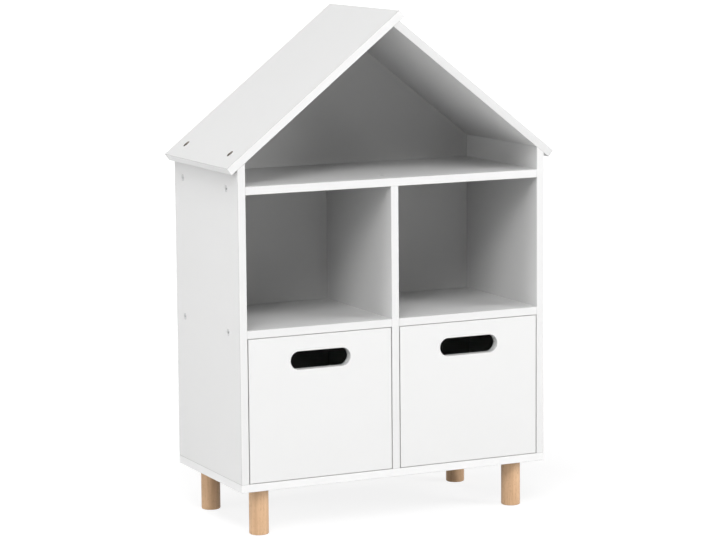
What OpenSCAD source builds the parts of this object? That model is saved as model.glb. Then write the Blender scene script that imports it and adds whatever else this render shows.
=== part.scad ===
// House shaped bookcase for a child's room, in millimetres.
// A cabinet of faced board stands on four turned legs. A pitched roof makes an open attic,
// two open cubbies lie under it, and two pull-out bins fill the lowest row.
// The front faces -Y. The origin is on the floor, under the middle of the object.

/* [Cabinet] */
// Width over the outside of the two side panels
case_w = 620; // [500:5:800]
// Depth of the cabinet and the roof, front to back
case_d = 300; // [270:5:400]
// Thickness of every faced board of the cabinet and of the bin fronts
board = 15; // [14:0.5:18]
// Radius that softens the edged corners of a board
edge_r = 0.5; // [0.3:0.1:1.5]

/* [Heights] */
// Length of a leg, from the floor to the underside of the bottom board
leg_h = 87; // [50:1:200]
// Clear height of the bay that a bin slides into
bin_bay_h = 265; // [200:5:350]
// Clear height of an open cubby
cubby_h = 244; // [180:2:340]
// Height of the side panel above the top shelf, measured on its outside
knee_h = 30.5; // [28:0.5:120]

/* [Roof] */
// Slope of both roof panels in degrees
roof_pitch = 38.25; // [30:0.25:45]
// How far a roof panel runs past the side panel, along its slope
eave_run = 13.5; // [5:0.5:40]
// How far the left roof panel runs past the inner ridge line, along its slope
ridge_run = 27.5; // [20:0.5:40]

/* [Back panels] */
// Thickness of the two thin back panels
back_t = 3; // [2.5:0.5:5]
// Distance from the rear edge of the cabinet to the rear face of the back panels
back_recess = 17; // [8:1:20]
// Depth of the grooves that hold the back panels
groove_d = 5; // [4:0.5:5.5]
// How far a back panel goes into its groove
groove_entry = 4; // [2:0.5:4]
// Play of a thin panel across its groove
groove_play = 0.2; // [0.1:0.1:0.5]

/* [Legs] */
// Diameter of a turned leg
leg_d = 36; // [30:1:45]
// Distance from the outside of the side panel to the middle of a leg
leg_inset_x = 49.5; // [40:0.5:90]
// Distance from the front edge to the middle of a front leg
leg_inset_front = 39; // [30:1:45]
// Distance from the rear edge to the middle of a rear leg
leg_inset_back = 32; // [30:1:60]
// Radius of the softened foot of a leg
foot_r = 2; // [1:0.5:4]
// Thread diameter of the bolt that joins a leg to the bottom board
leg_bolt_d = 8; // [6:1:10]
// Length of that bolt inside the leg
leg_bolt_l = 32; // [20:1:40]
// Outer diameter of the threaded insert in the bottom board
insert_d = 12; // [11:0.5:14]
// Length of the threaded insert
insert_l = 12; // [9:0.5:12]

/* [Connecting screws] */
// Length of a connecting screw
screw_l = 50; // [40:1:60]
// Length of a roof screw, which ends above the screws of the top shelf
roof_screw_l = 50; // [40:1:52]
// Diameter of the flat countersunk head of a connecting screw
screw_head_d = 11; // [9:0.5:12]
// Diameter of that head on the four screws in each side panel
side_head_d = 13; // [9:0.5:14]
// Diameter of the plain shank under the head
screw_shank_d = 7; // [6:0.5:7.5]
// Diameter of the thread core
screw_core_d = 5.8; // [5:0.1:5.9]
// Length of head and shank together
screw_shank_l = 13; // [12:0.5:16]
// How deep the head of a screw lies below the face of the board
screw_sink = 0.5; // [0.3:0.1:2]
// How far the screws of the middle shelves sit below the middle of the board
mid_screw_drop = 1.5; // [0:0.5:2]
// Distance from the front edge to the front row of screws
screw_front = 53; // [50:1:60]
// Distance from the rear edge to the rear row of screws
screw_back = 40; // [36:1:60]
// Distance from the front edge to the front roof screws
roof_screw_front = 50; // [30:1:90]
// Distance from the rear edge to the rear roof screws
roof_screw_back = 43; // [36:1:90]

/* [Dowels] */
// Diameter of a wooden dowel in the cabinet
dowel_d = 8; // [6:1:8]
// Length of a dowel
dowel_l = 30; // [25:1:35]
// How deep a dowel sits in the face of a board
dowel_face = 10; // [8:0.5:11]
// How deep a through dowel enters the shelf on each side of the divider
dowel_through = 18; // [12:1:25]
// Distance from a screw to the dowel beside it
dowel_step = 47; // [20:1:60]

/* [Ridge brackets] */
// Length of a bracket flange along the slope
bracket_flange = 22; // [20:1:40]
// Width of a bracket along the ridge
bracket_w = 34; // [30:1:50]
// Thickness of the bracket steel
bracket_t = 1.6; // [1.2:0.1:2.5]
// Distance from the front edge to the middle of the front bracket
bracket_front = 80; // [60:1:110]
// Distance from the rear edge to the middle of the rear bracket
bracket_back = 95; // [60:1:130]

/* [Bins] */
// Gap between a bin and the panel on each side of it
bin_gap_x = 1.5; // [1:0.25:4]
// Gap over and under a bin front
bin_gap_z = 0.75; // [0.5:0.25:4]
// Free depth behind a bin
bin_rear_gap = 20; // [2:1:80]
// Thickness of the bin walls
bin_wall_t = 12; // [12:0.5:15]
// Running gap under a bin
glide_gap = 0.3; // [0.2:0.1:1]
// Thickness of the bin bottom
bin_floor_t = 3; // [2.5:0.5:4]
// Height of the bin bottom above the lower edge of the walls
bin_floor_lift = 10; // [6:1:20]
// Depth of the grooves that hold the bin bottom
bin_groove_d = 5; // [4:0.5:5.5]
// How far the bin bottom goes into its grooves
bin_groove_entry = 4; // [2:0.5:4]

/* [Bin handles] */
// Width of the handle slot
handle_w = 119; // [80:1:160]
// Height of the handle slot
handle_h = 33.5; // [24:0.5:45]
// Distance from the top edge of the bin front to the middle of the slot
handle_drop = 46; // [40:1:60]
// Size of the chamfer round the slot
handle_ease = 0.5; // [0.5:0.1:2]

/* [Bin fittings] */
// Diameter of a cam disc
cam_d = 15; // [12:0.5:15]
// How far a cam disc reaches past the middle of the wall
cam_past = 3.4; // [3.3:0.1:4]
// Distance from the bin front to the middle of a cam disc
cam_reach = 24; // [20:1:34]
// Distance from the edge of the wall to the middle of a cam disc
cam_margin = 36; // [30:1:60]
// Depth of a cam bolt in the bin front
cam_bolt_in = 11; // [8:0.5:11.5]
// Distance from the edge of the wall to a bin dowel
bin_dowel_margin = 88; // [75:1:100]
// Diameter of a bin dowel
bin_dowel_d = 6; // [5:0.5:7]
// Length of a bin dowel
bin_dowel_l = 28; // [24:1:32]
// Length of a screw in the bin's rear corners
wall_screw_l = 35; // [30:1:45]
// Distance from the edge of the wall to a corner screw
wall_screw_margin = 45; // [30:1:80]

/* [Hidden] */
$fn = 48;

white = [0.96, 0.96, 0.95];
beech = [0.82, 0.67, 0.53];
dowel_tone = [0.86, 0.74, 0.58];
steel = [0.72, 0.73, 0.75];
dull_zinc = [0.6, 0.6, 0.62];

// Small clearances and details that no one sets from outside
drill_play = 0.1;        // radial play of a pin or screw in its hole
drill_end = 1;           // free depth past the end of a pin or screw
far = 2000;              // reach of a cutting block
socket_w = 4;            // width across the flats of a screw's hexagon socket
socket_h = 2.6;          // depth of that socket
head_rim = 0.6;          // straight rim of a countersunk head
tip_l = 4;               // length of a screw's point
tip_d = 1.6;             // diameter at the end of a screw's point
dowel_chamfer = 1;       // chamfer on the end of a dowel
leg_top_chamfer = 0.6;   // chamfer on the upper edge of a leg

// Levels, from the floor up
z_base = leg_h;
z_floor = z_base + board;
z_mid = z_floor + bin_bay_h;
z_cubby = z_mid + board;
z_top = z_cubby + cubby_h;
z_attic = z_top + board;
z_eave = z_attic + knee_h;

// Plan
half_w = case_w / 2;
half_d = case_d / 2;
inner_w = case_w - 2 * board;
side_x = half_w - board / 2;
bay_w = (inner_w - board) / 2;
bay_x = (bay_w + board) / 2;
back_y = half_d - back_recess - back_t;
shelf_d = back_y + half_d;
screw_ys = [screw_front - half_d, half_d - screw_back];
dowel_ys = [screw_ys[0] + dowel_step, screw_ys[1] - dowel_step];
roof_screw_ys = [roof_screw_front - half_d, half_d - roof_screw_back];
bracket_ys = [bracket_front - half_d, half_d - bracket_back];

// Roof
slope_l = half_w / cos(roof_pitch);
roof_head_z = z_eave + board / 2 * tan(roof_pitch) + board / cos(roof_pitch)
    - (screw_head_d / 2 + drill_play) * tan(roof_pitch);

// Bins, measured from the middle of the bay at the front edge and the top of the bottom board
bin_w = bay_w - 2 * bin_gap_x;
bin_front_h = bin_bay_h - 2 * bin_gap_z;
bin_wall_h = bin_bay_h - bin_gap_z - glide_gap;
bin_d = shelf_d - bin_rear_gap;
bin_wall_l = bin_d - board;
bin_top = bin_bay_h - bin_gap_z;
bin_inner_w = bin_w - 2 * bin_wall_t;
bin_floor_z = glide_gap + bin_floor_lift;
bin_wall_x = (bin_w - bin_wall_t) / 2;
cam_t = bin_wall_t / 2 + cam_past;
cam_zs = [glide_gap + cam_margin, bin_top - cam_margin];
bin_dowel_zs = [glide_gap + bin_dowel_margin, bin_top - bin_dowel_margin];
wall_screw_zs = [glide_gap + wall_screw_margin, bin_top - wall_screw_margin];

// ---------------------------------------------------------------- boards

// Rectangle with softened corners, its lower left corner at the origin
module soft_rect(w, h) {
    translate([edge_r, 0]) square([w - 2 * edge_r, h]);
    translate([0, edge_r]) square([w, h - 2 * edge_r]);
    for (x = [edge_r, w - edge_r], y = [edge_r, h - edge_r])
        translate([x, y]) circle(r = edge_r);
}

// Runs its children's outline along X, with the outline's own X and Y lying along Y and Z
module along_x(length) {
    rotate([90, 0, 90]) linear_extrude(length) children();
}

// Runs its children's outline along Y, with the outline's own X and Y lying along X and Z
module along_y(length) {
    translate([0, length, 0]) rotate([90, 0, 0]) linear_extrude(length) children();
}

// Upright board with softened front and rear edges
module upright(depth, height) {
    linear_extrude(height) soft_rect(board, depth);
}

// Lying board with softened front and rear edges
module shelf(width, depth) {
    along_x(width) soft_rect(depth, board);
}

// Board that is softened on every edge
module soft_block(w, d, h) {
    intersection() {
        linear_extrude(h) soft_rect(w, d);
        along_x(w) soft_rect(d, h);
        along_y(d) soft_rect(w, h);
    }
}

// Slot for the edge of a back panel, at the panel's place across the depth
module back_slot(w, h) {
    translate([-w / 2, back_y - groove_play / 2, -h / 2])
        cube([w, back_t + groove_play, h]);
}

// Puts its children on the left roof slope: X runs up the slope from the top outer edge
// of the side panel, and Z points out of the roof
module on_left_slope() {
    translate([-half_w, 0, z_eave]) rotate([0, -roof_pitch, 0]) children();
}

module on_right_slope() {
    mirror([1, 0, 0]) on_left_slope() children();
}

// Everything above the underside of the left roof panel
module above_left_slope() {
    on_left_slope() translate([-far / 2, -far / 2, 0]) cube(far);
}

// ---------------------------------------------------------------- screws and dowels

// Connecting screw of length l, with its head at the origin and its point downwards
module connector(l = screw_l, head_d = screw_head_d) {
    difference() {
        rotate_extrude() polygon([
            [0, 0],
            [head_d / 2, 0],
            [head_d / 2, -head_rim],
            [screw_shank_d / 2, -head_rim - (head_d - screw_shank_d) / 2],
            [screw_shank_d / 2, -screw_shank_l],
            [screw_core_d / 2, -screw_shank_l - (screw_shank_d - screw_core_d) / 2],
            [screw_core_d / 2, tip_l - l],
            [tip_d / 2, -l],
            [0, -l]
        ]);
        translate([0, 0, -socket_h])
            cylinder(d = socket_w / cos(30), h = socket_h + drill_end, $fn = 6);
    }
}

// Stepped hole for a connecting screw
module connector_bore(l = screw_l, head_d = screw_head_d) {
    rotate_extrude() polygon([
        [0, head_d],
        [head_d / 2 + drill_play, head_d],
        [head_d / 2 + drill_play, -head_rim - drill_play],
        [screw_shank_d / 2 + drill_play, -head_rim - drill_play - (head_d - screw_shank_d) / 2],
        [screw_shank_d / 2 + drill_play, -screw_shank_l - drill_play],
        [screw_core_d / 2 + drill_play, -screw_shank_l - drill_play - (screw_shank_d - screw_core_d) / 2],
        [screw_core_d / 2 + drill_play, -l - drill_end],
        [0, -l - drill_end]
    ]);
}

// Dowel along Z with its middle at the origin
module dowel(d, l) {
    rotate_extrude() polygon([
        [0, -l / 2],
        [d / 2 - dowel_chamfer, -l / 2],
        [d / 2, dowel_chamfer - l / 2],
        [d / 2, l / 2 - dowel_chamfer],
        [d / 2 - dowel_chamfer, l / 2],
        [0, l / 2]
    ]);
}

module dowel_bore(d, l) {
    cylinder(d = d + 2 * drill_play, h = l + drill_end, center = true);
}

module turn_to_x() {
    rotate([0, 90, 0]) children();
}

// Places of the connecting screws, heads outwards
module left_side_screw_places() {
    for (y = screw_ys, z = [z_mid + board / 2 - mid_screw_drop, z_top + board / 2])
        translate([screw_sink - half_w, y, z]) rotate([0, -90, 0]) children();
}

module right_side_screw_places() {
    mirror([1, 0, 0]) left_side_screw_places() children();
}

module left_side_screw_bores() {
    left_side_screw_places() connector_bore(head_d = side_head_d);
}

module base_screw_places() {
    for (x = [-side_x, 0, side_x], y = screw_ys)
        translate([x, y, z_base + screw_sink]) rotate([180, 0, 0]) children();
}

module divider_screw_places() {
    for (y = screw_ys)
        translate([0, y, z_attic - screw_sink]) children();
}

module left_roof_screw_places() {
    for (y = roof_screw_ys)
        translate([-side_x, y, roof_head_z]) children();
}

module right_roof_screw_places() {
    mirror([1, 0, 0]) left_roof_screw_places() children();
}

// Places of the dowels
module base_dowel_places() {
    for (x = [-side_x, 0, side_x], y = dowel_ys)
        translate([x, y, z_floor + dowel_l / 2 - dowel_face]) children();
}

module divider_top_dowel_places() {
    for (y = dowel_ys)
        translate([0, y, z_top + dowel_face - dowel_l / 2]) children();
}

module side_dowel_places(z) {
    for (s = [-1, 1], y = dowel_ys)
        translate([s * (inner_w / 2 + dowel_face - dowel_l / 2), y, z + board / 2])
            turn_to_x() children();
}

module through_dowel_places() {
    for (y = dowel_ys)
        translate([0, y, z_mid + board / 2]) turn_to_x() children();
}

// ---------------------------------------------------------------- cabinet

module left_side_shape() {
    difference() {
        translate([-half_w, -half_d, z_floor])
            soft_block(board, case_d, z_eave + board * (tan(roof_pitch) + 1) - z_floor);
        above_left_slope();
        translate([-inner_w / 2, 0, z_floor + far / 2]) back_slot(2 * groove_d, far);
        left_side_screw_bores();
        left_roof_screw_places() connector_bore(roof_screw_l);
        base_screw_places() connector_bore();
        base_dowel_places() dowel_bore(dowel_d, dowel_l);
        side_dowel_places(z_mid) dowel_bore(dowel_d, dowel_l);
        side_dowel_places(z_top) dowel_bore(dowel_d, dowel_l);
    }
}

module left_side_panel() {
    color(white) left_side_shape();
}

module right_side_panel() {
    color(white) mirror([1, 0, 0]) left_side_shape();
}

module leg_places() {
    for (x = [leg_inset_x - half_w, half_w - leg_inset_x],
         y = [leg_inset_front - half_d, half_d - leg_inset_back])
        translate([x, y, z_base]) children();
}

module bottom_board() {
    color(white) difference() {
        translate([-half_w, -half_d, z_base]) soft_block(case_w, case_d, board);
        translate([0, 0, z_floor]) back_slot(inner_w + 2 * groove_d, 2 * groove_d);
        base_screw_places() connector_bore();
        base_dowel_places() dowel_bore(dowel_d, dowel_l);
        leg_places() cylinder(d = insert_d + 2 * drill_play, h = 2 * (insert_l + drill_play), center = true);
    }
}

module top_shelf() {
    color(white) difference() {
        translate([-inner_w / 2, -half_d, z_top]) shelf(inner_w, case_d);
        for (z = [z_top, z_attic])
            translate([0, 0, z]) back_slot(far, 2 * groove_d);
        left_side_screw_bores();
        mirror([1, 0, 0]) left_side_screw_bores();
        divider_screw_places() connector_bore();
        side_dowel_places(z_top) dowel_bore(dowel_d, dowel_l);
        divider_top_dowel_places() dowel_bore(dowel_d, dowel_l);
    }
}

module divider_panel() {
    color(white) difference() {
        translate([-board / 2, -half_d, z_floor]) upright(shelf_d, z_top - z_floor);
        base_screw_places() connector_bore();
        divider_screw_places() connector_bore();
        base_dowel_places() dowel_bore(dowel_d, dowel_l);
        divider_top_dowel_places() dowel_bore(dowel_d, dowel_l);
        through_dowel_places() dowel_bore(dowel_d, board + 2 * dowel_through);
    }
}

module left_middle_shape() {
    difference() {
        translate([-inner_w / 2, -half_d, z_mid]) shelf(bay_w, shelf_d);
        left_side_screw_bores();
        side_dowel_places(z_mid) dowel_bore(dowel_d, dowel_l);
        through_dowel_places() dowel_bore(dowel_d, board + 2 * dowel_through);
    }
}

module left_middle_shelf() {
    color(white) left_middle_shape();
}

module right_middle_shelf() {
    color(white) mirror([1, 0, 0]) left_middle_shape();
}

// ---------------------------------------------------------------- roof

// Groove for the gable panel in the underside of a roof panel, up to `top` along the slope
module gable_groove(top) {
    start = (board - groove_d) / cos(roof_pitch);
    translate([start + (top - start) / 2, 0, 0]) back_slot(top - start, 2 * groove_d);
}

// Whole board of a roof panel, on its slope
module roof_board() {
    translate([-eave_run, -half_d, 0]) soft_block(eave_run + slope_l + ridge_run, case_d, board);
}

module left_roof_panel() {
    color(white) difference() {
        on_left_slope() difference() {
            roof_board();
            gable_groove(slope_l + groove_d);
        }
        left_roof_screw_places() connector_bore(roof_screw_l);
        ridge_screw_places(true) bracket_screw_bore();
    }
}

module right_roof_panel() {
    color(white) difference() {
        on_right_slope() difference() {
            roof_board();
            gable_groove(slope_l + groove_d);
        }
        above_left_slope();
        right_roof_screw_places() connector_bore(roof_screw_l);
        ridge_screw_places(false) bracket_screw_bore();
    }
}

// ---------------------------------------------------------------- backs

module lower_back_panel() {
    color(white) translate([-inner_w / 2 - groove_entry, back_y, z_floor - groove_entry])
        cube([inner_w + 2 * groove_entry, back_t, z_top - z_floor + 2 * groove_entry]);
}

// Five-sided panel that fills the gable and sits in grooves on every side
module gable_back_panel() {
    half = inner_w / 2 + groove_entry;
    rise = groove_entry / cos(roof_pitch);
    ridge_z = z_eave + half_w * tan(roof_pitch) + rise;
    color(white) translate([0, back_y, 0]) along_y(back_t) polygon([
        [-half, z_attic - groove_entry],
        [half, z_attic - groove_entry],
        [half, ridge_z - half * tan(roof_pitch)],
        [0, ridge_z],
        [-half, ridge_z - half * tan(roof_pitch)]
    ]);
}

// ---------------------------------------------------------------- ridge brackets

bracket_screw_d = 3.5;       // thread of the small screws in the brackets
bracket_screw_l = 12;        // their length
bracket_head_d = 7;          // their round head
bracket_head_h = 2.2;        // height of that head
bracket_screw_gap = 16;      // distance between the two screws of a flange
bracket_screw_up = 8;        // distance from the free end of a flange to its screws

// Small round-headed screw, its head below the origin and its point upwards
module bracket_screw() {
    difference() {
        rotate_extrude() polygon([
            [0, -bracket_head_h],
            [bracket_head_d / 4, -bracket_head_h],
            [bracket_head_d / 2, -bracket_head_h / 3],
            [bracket_head_d / 2, 0],
            [bracket_screw_d / 2, 0],
            [bracket_screw_d / 2, bracket_screw_l - tip_l],
            [tip_d / 4, bracket_screw_l],
            [0, bracket_screw_l]
        ]);
        for (a = [0, 90])
            rotate([0, 0, a]) cube([bracket_head_d / 2, head_rim, bracket_head_h * 3 / 2], center = true);
    }
}

module bracket_screw_bore() {
    cylinder(d = bracket_screw_d + 2 * drill_play, h = 2 * bracket_screw_l, center = true);
}

// The two screws of one flange, on the left slope, on the inner face of the flange
module flange_screw_places(y) {
    for (s = [-1, 1])
        translate([slope_l - bracket_flange + bracket_screw_up, y + s * bracket_screw_gap / 2, -bracket_t])
            children();
}

module ridge_screw_places(left) {
    for (y = bracket_ys) {
        if (left) on_left_slope() flange_screw_places(y) children();
        else on_right_slope() flange_screw_places(y) children();
    }
}

module flange(y) {
    difference() {
        translate([slope_l - bracket_flange, y - bracket_w / 2, -bracket_t])
            cube([bracket_flange, bracket_w, bracket_t]);
        flange_screw_places(y) bracket_screw_bore();
    }
}

module ridge_bracket(y) {
    color(steel) union() {
        on_left_slope() flange(y);
        on_right_slope() flange(y);
    }
}

module front_ridge_bracket() {
    ridge_bracket(bracket_ys[0]);
}

module rear_ridge_bracket() {
    ridge_bracket(bracket_ys[1]);
}

module ridge_bracket_screws() {
    color(dull_zinc) {
        ridge_screw_places(true) bracket_screw();
        ridge_screw_places(false) bracket_screw();
    }
}

// ---------------------------------------------------------------- legs

// Turned leg, with its top at the origin
module leg() {
    r = leg_d / 2;
    difference() {
        rotate_extrude() {
            polygon([
                [0, -leg_h],
                [r - foot_r, -leg_h],
                [r - foot_r, foot_r - leg_h],
                [r, foot_r - leg_h],
                [r, -leg_top_chamfer],
                [r - leg_top_chamfer, 0],
                [0, 0]
            ]);
            translate([r - foot_r, foot_r - leg_h]) intersection() {
                circle(r = foot_r);
                translate([0, -foot_r]) square(foot_r);
            }
        }
        cylinder(d = leg_bolt_d + 2 * drill_play, h = 2 * (leg_bolt_l + drill_end), center = true);
    }
}

module leg_at(sx, y) {
    color(beech) translate([sx * (half_w - leg_inset_x), y, z_base]) leg();
}

module front_left_leg() {
    leg_at(-1, leg_inset_front - half_d);
}

module front_right_leg() {
    leg_at(1, leg_inset_front - half_d);
}

module back_left_leg() {
    leg_at(-1, half_d - leg_inset_back);
}

module back_right_leg() {
    leg_at(1, half_d - leg_inset_back);
}

insert_flange = 1;           // depth of the smooth collar of an insert

// Threaded insert, open at the underside of the bottom board
module leg_inserts() {
    color(dull_zinc) leg_places() difference() {
        union() {
            cylinder(d = insert_d - 2 * drill_play, h = insert_l);
            cylinder(d = insert_d, h = insert_flange);
        }
        translate([0, 0, -drill_end]) cylinder(d = leg_bolt_d + 2 * drill_play, h = insert_l + 2 * drill_end);
    }
}

// Bolt with a wood thread in the leg and a machine thread in the insert
module leg_bolts() {
    color(steel) leg_places() rotate_extrude() polygon([
        [0, -leg_bolt_l],
        [tip_d / 2, -leg_bolt_l],
        [leg_bolt_d / 2, tip_l - leg_bolt_l],
        [leg_bolt_d / 2, insert_l - 2 * dowel_chamfer],
        [leg_bolt_d / 2 - dowel_chamfer, insert_l - dowel_chamfer],
        [0, insert_l - dowel_chamfer]
    ]);
}

// ---------------------------------------------------------------- fasteners

module left_side_screws() {
    color(steel) left_side_screw_places() connector(head_d = side_head_d);
}

module right_side_screws() {
    color(steel) right_side_screw_places() connector(head_d = side_head_d);
}

module divider_screws() {
    color(steel) divider_screw_places() connector();
}

module base_screws() {
    color(steel) base_screw_places() connector();
}

module left_roof_screws() {
    color(steel) left_roof_screw_places() connector(roof_screw_l);
}

module right_roof_screws() {
    color(steel) right_roof_screw_places() connector(roof_screw_l);
}

module base_dowels() {
    color(dowel_tone) base_dowel_places() dowel(dowel_d, dowel_l);
}

module top_shelf_dowels() {
    color(dowel_tone) {
        side_dowel_places(z_top) dowel(dowel_d, dowel_l);
        divider_top_dowel_places() dowel(dowel_d, dowel_l);
    }
}

module middle_shelf_dowels() {
    color(dowel_tone) {
        side_dowel_places(z_mid) dowel(dowel_d, dowel_l);
        through_dowel_places() dowel(dowel_d, board + 2 * dowel_through);
    }
}

// ---------------------------------------------------------------- bins

// Puts its children in a bay: -1 is the left bay and 1 the right one
module in_bay(side) {
    translate([side * bay_x, -half_d, z_floor]) children();
}

// Stadium outline of the handle slot, grown by `grow`
module handle_outline(grow) {
    straight = handle_w - handle_h;
    translate([-straight / 2, -handle_h / 2 - grow]) square([straight, handle_h + 2 * grow]);
    for (s = [-1, 1])
        translate([s * straight / 2, 0]) circle(r = handle_h / 2 + grow);
}

// Chamfer ring round one mouth of the slot: wide at the origin, narrow at depth handle_ease
module handle_mouth() {
    straight = handle_w - handle_h;
    r = handle_h / 2;
    for (s = [-1, 1])
        translate([s * straight / 2, 0, 0]) rotate([-90, 0, 0])
            cylinder(r1 = r + handle_ease, r2 = r, h = handle_ease);
    translate([-straight / 2, 0, 0]) along_x(straight) polygon([
        [0, -r - handle_ease], [handle_ease, -r], [handle_ease, r], [0, r + handle_ease]
    ]);
}

module handle_slot() {
    translate([0, 0, bin_top - handle_drop]) {
        translate([0, -drill_end, 0]) along_y(board + 2 * drill_end) handle_outline(0);
        handle_mouth();
        translate([0, board, 0]) mirror([0, 1, 0]) handle_mouth();
    }
}

cam_bolt_d = 5;              // thread of a cam bolt in the bin front
cam_neck_d = 6;              // its shank in the wall
cam_ball_d = 7;              // its head inside the cam disc
cam_ball_l = 3;              // length of that head
cam_cross_w = 1.6;           // width of the screwdriver cross in a cam disc
cam_cross_l = 8;             // length of that cross
cam_cross_h = 1.5;           // depth of that cross

// Bolt along Y from the bin front to the middle of the cam disc
module cam_bolt() {
    rotate([-90, 0, 0]) rotate_extrude() polygon([
        [0, -cam_bolt_in],
        [cam_bolt_d / 2, -cam_bolt_in],
        [cam_bolt_d / 2, 0],
        [cam_neck_d / 2, 0],
        [cam_neck_d / 2, cam_reach - cam_ball_l],
        [cam_ball_d / 2, cam_reach - cam_ball_l],
        [cam_ball_d / 2, cam_reach],
        [0, cam_reach]
    ]);
}

module cam_bolt_bore() {
    rotate([-90, 0, 0]) {
        translate([0, 0, -cam_bolt_in - drill_play])
            cylinder(d = cam_bolt_d + 2 * drill_play, h = cam_bolt_in + 2 * drill_play);
        cylinder(d = cam_ball_d + 2 * drill_play, h = cam_reach + drill_play);
    }
}

// Cam disc in the outer face of the left wall, its outer face at x = 0
module cam_disc() {
    difference() {
        turn_to_x() cylinder(d = cam_d - 2 * drill_play, h = cam_t);
        translate([bin_wall_t / 2, -cam_reach, 0]) cam_bolt_bore();
        for (a = [0, 90])
            rotate([a, 0, 0]) cube([2 * cam_cross_h, cam_cross_w, cam_cross_l], center = true);
    }
}

// Places of the fittings of one wall, for the left wall of a bin; mirrored for the right one
module both_walls() {
    children();
    mirror([1, 0, 0]) children();
}

module cam_disc_places() {
    for (z = cam_zs)
        translate([-bin_w / 2, board + cam_reach, z]) children();
}

module cam_bolt_places() {
    for (z = cam_zs)
        translate([-bin_wall_x, board, z]) children();
}

module bin_dowel_places() {
    for (z = bin_dowel_zs)
        translate([-bin_wall_x, board + bin_dowel_l / 2 - dowel_face, z])
            rotate([90, 0, 0]) children();
}

wall_screw_d = 4;            // thread of a corner screw
wall_head_d = 8;             // its countersunk head
wall_screw_sink = 0.3;       // how deep that head lies in the wall

module wall_screw_profile(play, extra) {
    rotate_extrude() polygon([
        [0, extra],
        [wall_head_d / 2 + play, extra],
        [wall_head_d / 2 + play, -play],
        [wall_screw_d / 2 + play, -play - (wall_head_d - wall_screw_d) / 2],
        [wall_screw_d / 2 + play, tip_l - wall_screw_l - extra],
        [0, -wall_screw_l - extra]
    ]);
}

module wall_screw() {
    difference() {
        wall_screw_profile(0, 0);
        for (a = [0, 90])
            rotate([0, 0, a]) cube([wall_head_d / 2, head_rim, 2 * cam_cross_h], center = true);
    }
}

module wall_screw_places() {
    for (z = wall_screw_zs)
        translate([wall_screw_sink - bin_w / 2, bin_d - bin_wall_t / 2, z])
            rotate([0, -90, 0]) children();
}

// Groove for the bin bottom, cut as one block a little larger than the bottom
module bin_floor_groove() {
    translate([-bin_inner_w / 2 - bin_groove_d, board - bin_groove_d, bin_floor_z - groove_play / 2])
        cube([bin_inner_w + 2 * bin_groove_d,
              bin_wall_l - bin_wall_t + 2 * bin_groove_d,
              bin_floor_t + groove_play]);
}

module bin_front() {
    difference() {
        translate([-bin_w / 2, 0, bin_gap_z]) soft_block(bin_w, board, bin_front_h);
        handle_slot();
        bin_floor_groove();
        both_walls() {
            cam_bolt_places() cam_bolt_bore();
            bin_dowel_places() dowel_bore(bin_dowel_d, bin_dowel_l);
        }
    }
}

module bin_left_wall() {
    difference() {
        translate([-bin_w / 2, board, glide_gap]) along_y(bin_wall_l) soft_rect(bin_wall_t, bin_wall_h);
        bin_floor_groove();
        cam_disc_places() turn_to_x() cylinder(d = cam_d, h = 2 * (cam_t + drill_play), center = true);
        cam_bolt_places() cam_bolt_bore();
        bin_dowel_places() dowel_bore(bin_dowel_d, bin_dowel_l);
        wall_screw_places() wall_screw_profile(drill_play, drill_end);
    }
}

module bin_back() {
    difference() {
        translate([-bin_inner_w / 2, bin_d - bin_wall_t, glide_gap])
            along_x(bin_inner_w) soft_rect(bin_wall_t, bin_wall_h);
        bin_floor_groove();
        both_walls() wall_screw_places() wall_screw_profile(drill_play, drill_end);
    }
}

module bin_bottom() {
    translate([-bin_inner_w / 2 - bin_groove_entry, board - bin_groove_entry, bin_floor_z])
        cube([bin_inner_w + 2 * bin_groove_entry,
              bin_wall_l - bin_wall_t + 2 * bin_groove_entry,
              bin_floor_t]);
}

module left_bin_front() {
    color(white) in_bay(-1) bin_front();
}

module left_bin_left_wall() {
    color(white) in_bay(-1) bin_left_wall();
}

module left_bin_right_wall() {
    color(white) in_bay(-1) mirror([1, 0, 0]) bin_left_wall();
}

module left_bin_back() {
    color(white) in_bay(-1) bin_back();
}

module left_bin_bottom() {
    color(white) in_bay(-1) bin_bottom();
}

module left_bin_cams() {
    color(dull_zinc) in_bay(-1) both_walls() cam_disc_places() cam_disc();
}

module left_bin_cam_bolts() {
    color(steel) in_bay(-1) both_walls() cam_bolt_places() cam_bolt();
}

module left_bin_dowels() {
    color(dowel_tone) in_bay(-1) both_walls() bin_dowel_places() dowel(bin_dowel_d, bin_dowel_l);
}

module left_bin_wall_screws() {
    color(steel) in_bay(-1) both_walls() wall_screw_places() wall_screw();
}

module right_bin_front() {
    color(white) in_bay(1) bin_front();
}

module right_bin_left_wall() {
    color(white) in_bay(1) bin_left_wall();
}

module right_bin_right_wall() {
    color(white) in_bay(1) mirror([1, 0, 0]) bin_left_wall();
}

module right_bin_back() {
    color(white) in_bay(1) bin_back();
}

module right_bin_bottom() {
    color(white) in_bay(1) bin_bottom();
}

module right_bin_cams() {
    color(dull_zinc) in_bay(1) both_walls() cam_disc_places() cam_disc();
}

module right_bin_cam_bolts() {
    color(steel) in_bay(1) both_walls() cam_bolt_places() cam_bolt();
}

module right_bin_dowels() {
    color(dowel_tone) in_bay(1) both_walls() bin_dowel_places() dowel(bin_dowel_d, bin_dowel_l);
}

module right_bin_wall_screws() {
    color(steel) in_bay(1) both_walls() wall_screw_places() wall_screw();
}

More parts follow.
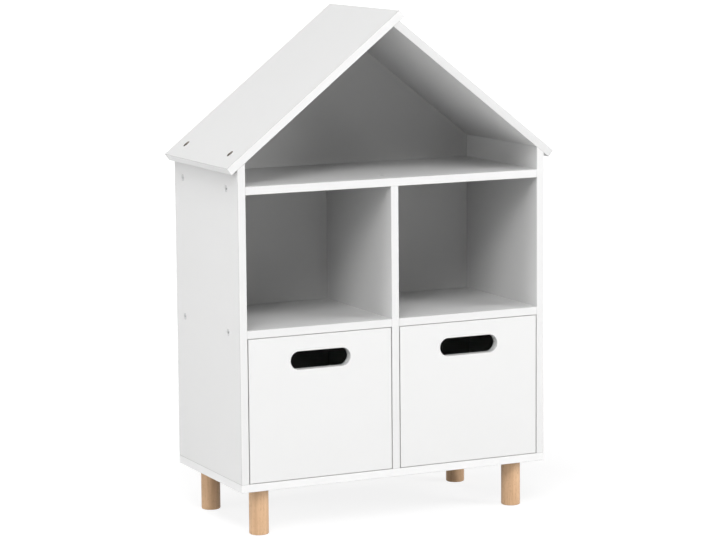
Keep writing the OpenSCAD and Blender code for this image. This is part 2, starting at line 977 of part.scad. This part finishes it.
left_side_panel();
right_side_panel();
bottom_board();
top_shelf();
divider_panel();
left_middle_shelf();
right_middle_shelf();
left_roof_panel();
right_roof_panel();
lower_back_panel();
gable_back_panel();
front_left_leg();
front_right_leg();
back_left_leg();
back_right_leg();
leg_inserts();
leg_bolts();
left_side_screws();
right_side_screws();
divider_screws();
base_screws();
left_roof_screws();
right_roof_screws();
base_dowels();
top_shelf_dowels();
middle_shelf_dowels();
front_ridge_bracket();
rear_ridge_bracket();
ridge_bracket_screws();
left_bin_front();
left_bin_left_wall();
left_bin_right_wall();
left_bin_back();
left_bin_bottom();
left_bin_cams();
left_bin_cam_bolts();
left_bin_dowels();
left_bin_wall_screws();
right_bin_front();
right_bin_left_wall();
right_bin_right_wall();
right_bin_back();
right_bin_bottom();
right_bin_cams();
right_bin_cam_bolts();
right_bin_dowels();
right_bin_wall_screws();
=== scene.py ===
import math

import bpy
from mathutils import Matrix, Vector


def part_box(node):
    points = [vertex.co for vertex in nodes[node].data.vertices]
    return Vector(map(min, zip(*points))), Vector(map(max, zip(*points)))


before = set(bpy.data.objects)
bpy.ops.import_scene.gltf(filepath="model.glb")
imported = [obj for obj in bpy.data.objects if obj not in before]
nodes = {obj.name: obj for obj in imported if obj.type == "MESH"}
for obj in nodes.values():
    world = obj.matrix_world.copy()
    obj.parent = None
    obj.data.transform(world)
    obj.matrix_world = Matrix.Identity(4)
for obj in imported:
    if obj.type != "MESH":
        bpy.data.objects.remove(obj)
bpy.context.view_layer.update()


# ---- Cabinet boards ----
# The cabinet is 15 mm chipboard with white melamine on both faces, and a slightly smoother plastic
# banding glued to the cut edges. A thin grey line along the trimmed corners is the glue and also
# painted shade of the seams where boards meet. Inside slanting bores the raw chipboard shows.

FACING_WHITE = (0.785, 0.785, 0.782, 1.0)
FACING_SHADE = (0.70, 0.70, 0.69, 1.0)
BANDING_WHITE = (0.78, 0.78, 0.778, 1.0)
# The same banding on the bottom board, made lighter: painted light on its low edge
BASE_BANDING_PAINTED_LIGHT = (0.86, 0.86, 0.858, 1.0)
# Grey of the glue line, darkened further as painted shade of the seams between boards
GLUE_LINE_AND_SEAM_SHADE = (0.40, 0.395, 0.385, 1.0)
CHIP_LIGHT = (0.33, 0.295, 0.250, 1.0)
CHIP_DARK = (0.15, 0.132, 0.110, 1.0)
NO_BORES = (0.0, 0.0, 0.0)

# Places of a Mix node's colour sockets
MIX_SHARE, MIX_FIRST, MIX_SECOND, MIX_RESULT = 0, 6, 7, 2


def start_material(name):
    """A new material with its node tree and its shader."""
    material = bpy.data.materials.new(name)
    material.use_nodes = True
    return material, material.node_tree, material.node_tree.nodes["Principled BSDF"]


def finish_group(name, *inputs):
    """A node group for one finish, with these inputs: label, socket type and usual value."""
    tree = bpy.data.node_groups.new(name, "ShaderNodeTree")
    for label, kind, value in inputs:
        socket = tree.interface.new_socket(label, in_out="INPUT", socket_type=kind)
        socket.default_value = value
    for label, kind in (("Color", "Color"), ("Roughness", "Float"), ("Height", "Float")):
        tree.interface.new_socket(label, in_out="OUTPUT", socket_type=f"NodeSocket{kind}")
    given = tree.nodes.new("NodeGroupInput").outputs
    result = tree.nodes.new("NodeGroupOutput").inputs
    return tree, given, result


def put_out(tree, result, color, roughness, height):
    """Joins what a finish group has worked out to its outputs."""
    tree.links.new(color, result["Color"])
    tree.links.new(roughness, result["Roughness"])
    tree.links.new(height, result["Height"])


def add_node(tree, kind, wires=(), **settings):
    """A node with settings, and wires that bring other sockets or plain values into its inputs."""
    node = tree.nodes.new(kind)
    for key, value in settings.items():
        setattr(node, key, value)
    for socket, source in dict(wires).items():
        if isinstance(source, bpy.types.NodeSocket):
            tree.links.new(source, node.inputs[socket])
        else:
            node.inputs[socket].default_value = source
    return node


def maths(tree, operation, *values):
    """The outcome of one operation on numbers."""
    wires = dict(enumerate(values))
    return add_node(tree, "ShaderNodeMath", wires, operation=operation).outputs["Value"]


def vector_maths(tree, operation, *values, output="Vector"):
    """The outcome of one operation on vectors. Lengths and dot products come out as Value."""
    wires = dict(enumerate(values))
    return add_node(tree, "ShaderNodeVectorMath", wires, operation=operation).outputs[output]


def sum_of(tree, *terms):
    """Adds up pairs of a value and its factor. A value may be a plain number."""
    total = 0.0
    for value, factor in terms:
        total = maths(tree, "MULTIPLY_ADD", value, factor, total)
    return total


def surface_noise(tree, place, scale, detail, roughness=0.5):
    """Noise from 0 to 1, with a scale in features per metre."""
    wires = {"Vector": place, "Scale": scale, "Detail": detail, "Roughness": roughness}
    return add_node(tree, "ShaderNodeTexNoise", wires).outputs["Fac"]


def step_between(tree, value, low, high, start=0.0, end=1.0):
    """start below low, end above high, and smooth between them."""
    wires = {"Value": value, "From Min": low, "From Max": high, "To Min": start, "To Max": end}
    step = add_node(tree, "ShaderNodeMapRange", wires, interpolation_type="SMOOTHSTEP")
    return step.outputs["Result"]


def blend_colour(tree, share, first, second):
    """The first colour where share is 0, the second one where it is 1."""
    wires = {MIX_SHARE: share, MIX_FIRST: first, MIX_SECOND: second}
    return add_node(tree, "ShaderNodeMix", wires, data_type="RGBA").outputs[MIX_RESULT]


def apply_finish(tree, shader, finish, values, bump_strength, bump_depth):
    """Sets the shader's colour, roughness and bump from a finish group with these values."""
    skin = add_node(tree, "ShaderNodeGroup", values, node_tree=finish).outputs
    wires = {"Strength": bump_strength, "Distance": bump_depth, "Height": skin["Height"]}
    bump = add_node(tree, "ShaderNodeBump", wires)
    tree.links.new(skin["Color"], shader.inputs["Base Color"])
    tree.links.new(skin["Roughness"], shader.inputs["Roughness"])
    tree.links.new(bump.outputs["Normal"], shader.inputs["Normal"])


melamine, given, result = finish_group(
    "melamine_facing",
    ("Board Normal", "NodeSocketVector", (0.0, 0.0, 1.0)),
    ("Banding", "NodeSocketColor", BANDING_WHITE),
    ("Bores Middle", "NodeSocketVector", NO_BORES),
    ("Bores Reach", "NodeSocketVector", NO_BORES))
spot = add_node(melamine, "ShaderNodeTexCoord").outputs
pearl = surface_noise(melamine, spot["Object"], scale=780.0, detail=3.0, roughness=0.55)
drift = surface_noise(melamine, spot["Object"], scale=4.5, detail=2.0)
rub = surface_noise(melamine, spot["Object"], scale=55.0, detail=3.0, roughness=0.6)

# 1 on the board's two faces, 0 on its edges, and in between on its rounded corners
toward_face = vector_maths(melamine, "DOT_PRODUCT", spot["Normal"], given["Board Normal"],
                           output="Value")
square_on = maths(melamine, "ABSOLUTE", toward_face)
on_banding = step_between(melamine, square_on, low=0.25, high=0.9, start=1.0, end=0.0)
off_edge = step_between(melamine, square_on, low=0.04, high=0.30)
off_face = step_between(melamine, square_on, low=0.90, high=0.995, start=1.0, end=0.0)
on_corner = maths(melamine, "MULTIPLY", off_edge, off_face)

tint = blend_colour(melamine, on_banding, FACING_WHITE, given["Banding"])
shade = sum_of(melamine, (drift, 0.10), (pearl, 0.05))
shaded = blend_colour(melamine, shade, tint, FACING_SHADE)
# Along the rounded corners: the glue line, and painted shade of the seams where boards meet
glue_and_seam_shade = maths(melamine, "MULTIPLY", on_corner, sum_of(melamine, (rub, 0.3), (1.0, 0.6)))
outside = blend_colour(melamine, glue_and_seam_shade, shaded, GLUE_LINE_AND_SEAM_SHADE)

# The wall of a slanting bore isn't square on to the faces, and lies in the box round the bores
off_middle = vector_maths(melamine, "SUBTRACT", spot["Object"], given["Bores Middle"])
off_middle = vector_maths(melamine, "ABSOLUTE", off_middle)
inward = vector_maths(melamine, "SUBTRACT", given["Bores Reach"], off_middle)
inward = add_node(melamine, "ShaderNodeSeparateXYZ", {"Vector": inward}).outputs
in_bore = step_between(melamine, square_on, low=0.82, high=0.95, start=1.0, end=0.0)
for axis in "XYZ":
    within = maths(melamine, "GREATER_THAN", inward[axis], 0.0)
    in_bore = maths(melamine, "MULTIPLY", in_bore, within)
chips = surface_noise(melamine, spot["Object"], scale=700.0, detail=4.0, roughness=0.7)
chips = step_between(melamine, chips, low=0.38, high=0.62)
raw_core = blend_colour(melamine, chips, CHIP_LIGHT, CHIP_DARK)

smoother_banding = step_between(melamine, on_banding, low=0.0, high=1.0, start=1.0, end=0.25)
put_out(
    melamine, result,
    color=blend_colour(melamine, in_bore, outside, raw_core),
    roughness=sum_of(melamine, (rub, 0.10), (pearl, 0.05), (on_banding, -0.07), (1.0, 0.40)),
    height=maths(melamine, "MULTIPLY", pearl, smoother_banding))


def faced_board(name, board_normal, banding=BANDING_WHITE, bores_middle=NO_BORES,
                bores_reach=NO_BORES):
    """White board. The bores whose raw core shows lie within bores_reach of bores_middle."""
    material, tree, shader = start_material(name)
    values = {"Board Normal": board_normal, "Banding": banding,
              "Bores Middle": bores_middle, "Bores Reach": bores_reach}
    apply_finish(tree, shader, melamine, values, bump_strength=0.35, bump_depth=0.00006)
    shader.inputs["Specular IOR Level"].default_value = 0.45
    return material


def give(material, *names):
    """Gives the material to these pieces."""
    for name in names:
        slots = nodes[name].data.materials
        slots.clear()
        slots.append(material)


upright_board = faced_board("upright_board", board_normal=(1.0, 0.0, 0.0))
level_board = faced_board("level_board", board_normal=(0.0, 0.0, 1.0))
# The bottom board's banding is lighter as painted light, not as a different plastic
base_board_painted_light = faced_board("base_board_painted_light", board_normal=(0.0, 0.0, 1.0), banding=BASE_BANDING_PAINTED_LIGHT)
give(upright_board, "left_side_panel", "right_side_panel", "divider_panel")
give(level_board, "top_shelf", "left_middle_shelf", "right_middle_shelf")
give(base_board_painted_light, "bottom_board")


# ---- Roof panels ----
# Two boards of the same chipboard lie on the bevelled tops of the side panels, the right one with
# greyer banding. The left one laps over it at the ridge, so its banded upper edge stays in view.
# Their screws stand upright in bores that cut the slope at a slant.

ROOF_PITCH = math.radians(38.25)
ROOF_BANDING = {"left": BANDING_WHITE, "right": (0.69, 0.69, 0.688, 1.0)}

# Room on each side of the screws' box that takes in the walls of their bores
ROOM_ROUND_SCREWS = Vector((0.0065, 0.0065, 0.03))

for side, direction in (("left", -1.0), ("right", 1.0)):
    slope_normal = (direction * math.sin(ROOF_PITCH), 0.0, math.cos(ROOF_PITCH))
    low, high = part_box(f"{side}_roof_screws")
    roof_board = faced_board(f"{side}_roof_board", slope_normal, ROOF_BANDING[side],
                             bores_middle=(low + high) / 2,
                             bores_reach=(high - low) / 2 + ROOM_ROUND_SCREWS)
    give(roof_board, f"{side}_roof_panel")


# ---- Back panels ----
# Thin fibreboard slides into grooves in the boards around it. Its front is painted white, given
# here in a greyer tone as painted shade for the deep cubbies, and its rear is left raw, with the
# short fibres of the board showing.

# The white paint, given greyer than the boards as painted shade for the deep cubbies
BACK_WHITE_AND_PAINTED_SHADE = (0.62, 0.62, 0.616, 1.0)
BACK_PEEL_AND_PAINTED_SHADE = (0.555, 0.555, 0.55, 1.0)
RAW_FIBRE = (0.40, 0.265, 0.16, 1.0)
DARK_FIBRE = (0.25, 0.155, 0.09, 1.0)

fibreboard, given, result = finish_group(
    "fibreboard_skin", ("Raw Side", "NodeSocketVector", (0.0, 1.0, 0.0)))
spot = add_node(fibreboard, "ShaderNodeTexCoord").outputs
fibres = surface_noise(fibreboard, spot["Object"], scale=420.0, detail=5.0, roughness=0.7)
blotches = surface_noise(fibreboard, spot["Object"], scale=22.0, detail=3.0, roughness=0.6)
peel = surface_noise(fibreboard, spot["Object"], scale=300.0, detail=1.0)

toward_raw = vector_maths(fibreboard, "DOT_PRODUCT", spot["Normal"], given["Raw Side"],
                          output="Value")
raw = step_between(fibreboard, toward_raw, low=0.3, high=0.6)
dark_share = sum_of(fibreboard, (fibres, 0.9), (blotches, 0.5), (1.0, -0.35))
brown = blend_colour(fibreboard, dark_share, RAW_FIBRE, DARK_FIBRE)
# The white paint, greyer as painted shade for the cubbies, with random peel marks
paint_and_painted_shade = blend_colour(fibreboard, maths(fibreboard, "MULTIPLY", peel, 0.12),
                     BACK_WHITE_AND_PAINTED_SHADE, BACK_PEEL_AND_PAINTED_SHADE)
raw_fibres = maths(fibreboard, "MULTIPLY", raw, fibres)
put_out(
    fibreboard, result,
    color=blend_colour(fibreboard, raw, paint_and_painted_shade, brown),
    roughness=sum_of(fibreboard, (raw, 0.28), (peel, 0.08), (1.0, 0.50)),
    height=sum_of(fibreboard, (raw_fibres, 1.5), (peel, 0.35)))


def thin_board(name, raw_side):
    """Fibreboard, white but for the side that faces raw_side."""
    material, tree, shader = start_material(name)
    apply_finish(tree, shader, fibreboard, {"Raw Side": raw_side},
                 bump_strength=0.4, bump_depth=0.00012)
    shader.inputs["Specular IOR Level"].default_value = 0.35
    return material


back_board = thin_board("back_board", raw_side=(0.0, 1.0, 0.0))
give(back_board, "lower_back_panel", "gable_back_panel")


# ---- Legs and dowels ----
# The four legs are turned from beech, with the grain running down the leg, and clear lacquered.
# The dowels that line the boards up are plain beech, with their grain along the dowel.

BEECH_LIGHT = (0.78, 0.510, 0.305, 1.0)
BEECH_DARK = (0.61, 0.370, 0.205, 1.0)
BEECH_PORE = (0.30, 0.15, 0.075, 1.0)
DOWEL_BEECH = (0.70, 0.50, 0.32, 1.0)

# Turns that bring the grain to Z, from upright and from sideways
UPRIGHT_GRAIN = (0.0, 0.0, 0.0)
SIDEWAYS_GRAIN = (0.0, math.pi / 2, 0.0)


def stretched(tree, place, along):
    """The place, squeezed along Z, which stretches a pattern out along the grain."""
    wires = {"Vector": place, "Scale": (1.0, 1.0, along)}
    return add_node(tree, "ShaderNodeMapping", wires).outputs["Vector"]


beech, given, result = finish_group(
    "beech_figure",
    ("Along Grain", "NodeSocketVector", (0.0, 0.0, 0.0)),
    ("Light", "NodeSocketColor", BEECH_LIGHT))
grain = given["Along Grain"]
streaks = surface_noise(beech, stretched(beech, grain, along=0.035),
                        scale=310.0, detail=4.0, roughness=0.6)
rings = surface_noise(beech, stretched(beech, grain, along=0.06), scale=95.0, detail=1.5)
pores = surface_noise(beech, stretched(beech, grain, along=0.12), scale=1300.0, detail=1.0)
tone = surface_noise(beech, grain, scale=14.0, detail=1.0)
fleck = step_between(beech, pores, low=0.60, high=0.74)
figure = sum_of(beech, (streaks, 0.75), (rings, 0.60), (tone, 0.45), (1.0, -0.40))
figure = step_between(beech, figure, low=0.22, high=0.82)
plain = blend_colour(beech, figure, given["Light"], BEECH_DARK)
put_out(
    beech, result,
    color=blend_colour(beech, maths(beech, "MULTIPLY", fleck, 0.45), plain, BEECH_PORE),
    roughness=sum_of(beech, (fleck, 0.15), (streaks, 0.10), (1.0, 0.36)),
    height=sum_of(beech, (streaks, 0.4), (fleck, -0.6)))


def turned_beech(name, grain_turn, light):
    """Beech whose grain runs along the axis that grain_turn turns to Z."""
    material, tree, shader = start_material(name)
    spot = add_node(tree, "ShaderNodeTexCoord")
    wires = {"Vector": spot.outputs["Object"], "Rotation": grain_turn}
    turned = add_node(tree, "ShaderNodeMapping", wires)
    values = {"Along Grain": turned.outputs["Vector"], "Light": light}
    apply_finish(tree, shader, beech, values, bump_strength=0.3, bump_depth=0.00015)
    shader.inputs["Specular IOR Level"].default_value = 0.4
    return material


leg_beech = turned_beech("leg_beech", UPRIGHT_GRAIN, BEECH_LIGHT)
upright_dowel = turned_beech("upright_dowel_beech", UPRIGHT_GRAIN, DOWEL_BEECH)
level_dowel = turned_beech("level_dowel_beech", SIDEWAYS_GRAIN, DOWEL_BEECH)
give(leg_beech, "front_left_leg", "front_right_leg", "back_left_leg", "back_right_leg")
give(upright_dowel, "base_dowels")
give(level_dowel, "top_shelf_dowels", "middle_shelf_dowels")


# ---- Screws, leg bolts and inserts ----
# The connecting screws are plated steel with a hexagon socket, and their flat heads lie in
# counterbores. They are bright on the sides, and near black on the roof as painted shade of their
# deep bores. Each leg has a steel bolt that turns into a zinc insert in the bottom board.

BRIGHT_ZINC = (0.67, 0.67, 0.675, 1.0)
CAST_ZINC = (0.50, 0.50, 0.51, 1.0)
# Near black for the roof screws: painted shade of their deep counterbores, not the metal's colour
RECESS_SHADE_PLATING = (0.045, 0.045, 0.047, 1.0)
OXIDE_SHARE = 0.58

plating, given, result = finish_group(
    "zinc_plating",
    ("Tone", "NodeSocketColor", BRIGHT_ZINC),
    ("Dullness", "NodeSocketFloat", 0.0))
spot = add_node(plating, "ShaderNodeTexCoord").outputs
clouds = surface_noise(plating, spot["Object"], scale=240.0, detail=3.0, roughness=0.6)
grit = surface_noise(plating, spot["Object"], scale=2600.0, detail=2.0)
oxide = add_node(plating, "ShaderNodeVectorMath", {0: given["Tone"], "Scale": OXIDE_SHARE},
                 operation="SCALE")
dulled = sum_of(plating, (clouds, 0.45), (grit, 0.15))
put_out(
    plating, result,
    color=blend_colour(plating, dulled, given["Tone"], oxide.outputs["Vector"]),
    roughness=sum_of(plating, (clouds, 0.16), (given["Dullness"], 0.3), (1.0, 0.26)),
    height=sum_of(plating, (grit, 0.5), (clouds, 0.5)))


def plated_metal(name, tone, dullness):
    """Metal of this tone, from bright at a dullness of 0 to matt at 1."""
    material, tree, shader = start_material(name)
    values = {"Tone": tone, "Dullness": dullness}
    apply_finish(tree, shader, plating, values, bump_strength=0.25, bump_depth=0.00008)
    shader.inputs["Metallic"].default_value = 1.0
    return material


screw_zinc = plated_metal("screw_zinc", BRIGHT_ZINC, dullness=0.0)
cast_zinc = plated_metal("cast_zinc", CAST_ZINC, dullness=0.7)
recess_shade_plating = plated_metal("recess_shade_plating", RECESS_SHADE_PLATING, dullness=0.5)
give(screw_zinc, "left_side_screws", "right_side_screws", "divider_screws", "base_screws",
     "leg_bolts")
# The roof screws get the near black plating as painted shade of their deep counterbores
give(recess_shade_plating, "left_roof_screws", "right_roof_screws")
give(cast_zinc, "leg_inserts")


# ---- Ridge brackets ----
# Two short angles of zinc plated sheet sit in the corner under the ridge, each held by four small
# round headed screws, and keep the roof panels together.

SHEET_ZINC = (0.58, 0.59, 0.61, 1.0)

bracket_sheet = plated_metal("bracket_sheet", SHEET_ZINC, dullness=0.4)
give(bracket_sheet, "front_ridge_bracket", "rear_ridge_bracket")
give(screw_zinc, "ridge_bracket_screws")


# ---- Bins ----
# Each bin is a box of the same white board that slides in on the bottom board. Cam discs pull the
# thick front with its handle slot onto the walls, screws hold the back, and the bottom sits in
# grooves.

DEPTHWAYS_GRAIN = (math.pi / 2, 0.0, 0.0)

front_board = faced_board("front_board", board_normal=(0.0, 1.0, 0.0))
bin_bottom_board = thin_board("bin_bottom_board", raw_side=(0.0, 0.0, -1.0))
bin_dowel = turned_beech("bin_dowel_beech", DEPTHWAYS_GRAIN, DOWEL_BEECH)
for side in ("left", "right"):
    give(front_board, f"{side}_bin_front", f"{side}_bin_back")
    give(upright_board, f"{side}_bin_left_wall", f"{side}_bin_right_wall")
    give(bin_bottom_board, f"{side}_bin_bottom")
    give(cast_zinc, f"{side}_bin_cams")
    give(screw_zinc, f"{side}_bin_cam_bolts", f"{side}_bin_wall_screws")
    give(bin_dowel, f"{side}_bin_dowels")


# ---- Floor and backdrop ----
# A plain white paper floor that fades into an equally white surround. It fades least near the
# legs, where it keeps the cabinet's faint shadow.

FLOOR_SIZE = 40.0
PAPER_LIGHT = (0.92, 0.92, 0.92, 1.0)
PAPER_SHADE = (0.88, 0.88, 0.88, 1.0)
WHITE_LIGHT = (1.0, 1.0, 1.0, 1.0)
FLOOR_GLOW = 1.2

# Distances from the cabinet's middle between which the fade grows, and its share before that
FADE_START, FADE_END = 0.7, 2.2
NEAR_FADE = 0.7

for piece in bpy.context.selected_objects:
    piece.select_set(False)
bpy.ops.mesh.primitive_plane_add(size=FLOOR_SIZE, location=(0.0, 0.0, 0.0))
floor = bpy.context.object
floor.name = "studio_floor"


def seen_directly(tree):
    """1 for what is seen, reflected or looked through at, and 0 for what only gives light."""
    rays = add_node(tree, "ShaderNodeLightPath").outputs
    seen = maths(tree, "MAXIMUM", rays["Is Camera Ray"], rays["Is Glossy Ray"])
    return maths(tree, "MAXIMUM", seen, rays["Is Transmission Ray"])


paper, tree, shader = start_material("studio_paper")
shader.inputs["Roughness"].default_value = 0.9
shader.inputs["Specular IOR Level"].default_value = 0.1
spot = add_node(tree, "ShaderNodeTexCoord").outputs
paper_grain = surface_noise(tree, spot["Object"], scale=60.0, detail=3.0)
paper_colour = blend_colour(tree, maths(tree, "MULTIPLY", paper_grain, 0.1),
                            PAPER_LIGHT, PAPER_SHADE)
tree.links.new(paper_colour, shader.inputs["Base Color"])
away = vector_maths(tree, "LENGTH", spot["Object"], output="Value")
faded = step_between(tree, away, FADE_START, FADE_END, start=NEAR_FADE, end=1.0)
faded = maths(tree, "MULTIPLY", faded, seen_directly(tree))
white = add_node(tree, "ShaderNodeEmission", {"Color": WHITE_LIGHT, "Strength": FLOOR_GLOW})
fade = add_node(tree, "ShaderNodeMixShader",
                {0: faded, 1: shader.outputs["BSDF"], 2: white.outputs["Emission"]})
tree.links.new(fade.outputs["Shader"], tree.nodes["Material Output"].inputs["Surface"])
floor.data.materials.append(paper)

world = bpy.data.worlds.new("studio_surround")
world.use_nodes = True
bpy.context.scene.world = world
tree = world.node_tree
tree.nodes.clear()
surround = add_node(tree, "ShaderNodeBackground",
                    {"Color": WHITE_LIGHT, "Strength": seen_directly(tree)})
add_node(tree, "ShaderNodeOutputWorld", {"Surface": surround.outputs["Background"]})


# ---- Lights ----
# Six large soft panels: a low one on the right and a raised one beside the camera for the fronts,
# three on the left for the side panel and the roof, and one behind that leaves no highlights.
# Their light is followed for a single bounce, which keeps the open cubbies as grey as in the photo.

PANEL_DISTANCE = 8.0
PANEL_SIZE = 3.5
CABINET_MIDDLE = Vector((0.0, 0.0, 0.47))


def soft_panel(name, azimuth, elevation, watts):
    """A square panel that looks at the cabinet, from the front at 0 and from the right at 90."""
    turn, rise = math.radians(azimuth), math.radians(elevation)
    away = Vector((math.sin(turn) * math.cos(rise),
                   -math.cos(turn) * math.cos(rise),
                   math.sin(rise)))
    lamp = bpy.data.lights.new(name, "AREA")
    lamp.shape = "SQUARE"
    lamp.size = PANEL_SIZE
    lamp.energy = watts
    lamp.cycles.max_bounces = 1
    panel = bpy.data.objects.new(name, lamp)
    bpy.context.scene.collection.objects.link(panel)
    panel.location = CABINET_MIDDLE + away * PANEL_DISTANCE
    panel.rotation_euler = away.to_track_quat("Z", "Y").to_euler()
    return panel


soft_panel("right_panel", azimuth=50.0, elevation=15.0, watts=363.0)
soft_panel("front_panel", azimuth=-25.0, elevation=44.0, watts=276.0)
soft_panel("left_panel", azimuth=-48.0, elevation=24.0, watts=105.0)
soft_panel("low_left_panel", azimuth=-92.0, elevation=9.0, watts=147.0)
soft_panel("high_left_panel", azimuth=-70.0, elevation=66.0, watts=200.0)
rear_panel = soft_panel("rear_panel", azimuth=180.0, elevation=12.0, watts=130.0)
rear_panel.visible_glossy = False


# ---- Camera ----
# Solved from the board edges in the photograph: 5.25 m from the cabinet's middle, left of its
# front and a little above it, with a long lens.

EYE = Vector((-2.23198, -4.69692, 1.20409))
YAW, PITCH, ROLL = (math.radians(angle) for angle in (25.3775, 8.2194, -0.4660))
LENS_PIXELS = 2801.78
FRAME_PIXELS = 716
SENSOR_WIDTH = 36.0

ahead = Vector((math.sin(YAW) * math.cos(PITCH),
                math.cos(YAW) * math.cos(PITCH),
                -math.sin(PITCH)))
level = Vector((math.cos(YAW), -math.sin(YAW), 0.0))
upright = level.cross(ahead)
across = math.cos(ROLL) * level + math.sin(ROLL) * upright
above = -math.sin(ROLL) * level + math.cos(ROLL) * upright
turn = Matrix((across, above, -ahead)).transposed().to_4x4()

photo_view = bpy.data.cameras.new("photo_view")
photo_view.sensor_fit = "HORIZONTAL"
photo_view.sensor_width = SENSOR_WIDTH
photo_view.lens = LENS_PIXELS / FRAME_PIXELS * SENSOR_WIDTH
camera = bpy.data.objects.new("photo_view", photo_view)
bpy.context.scene.collection.objects.link(camera)
camera.matrix_world = Matrix.Translation(EYE) @ turn
bpy.context.scene.camera = camera
bpy.context.scene.view_settings.view_transform = "Standard"
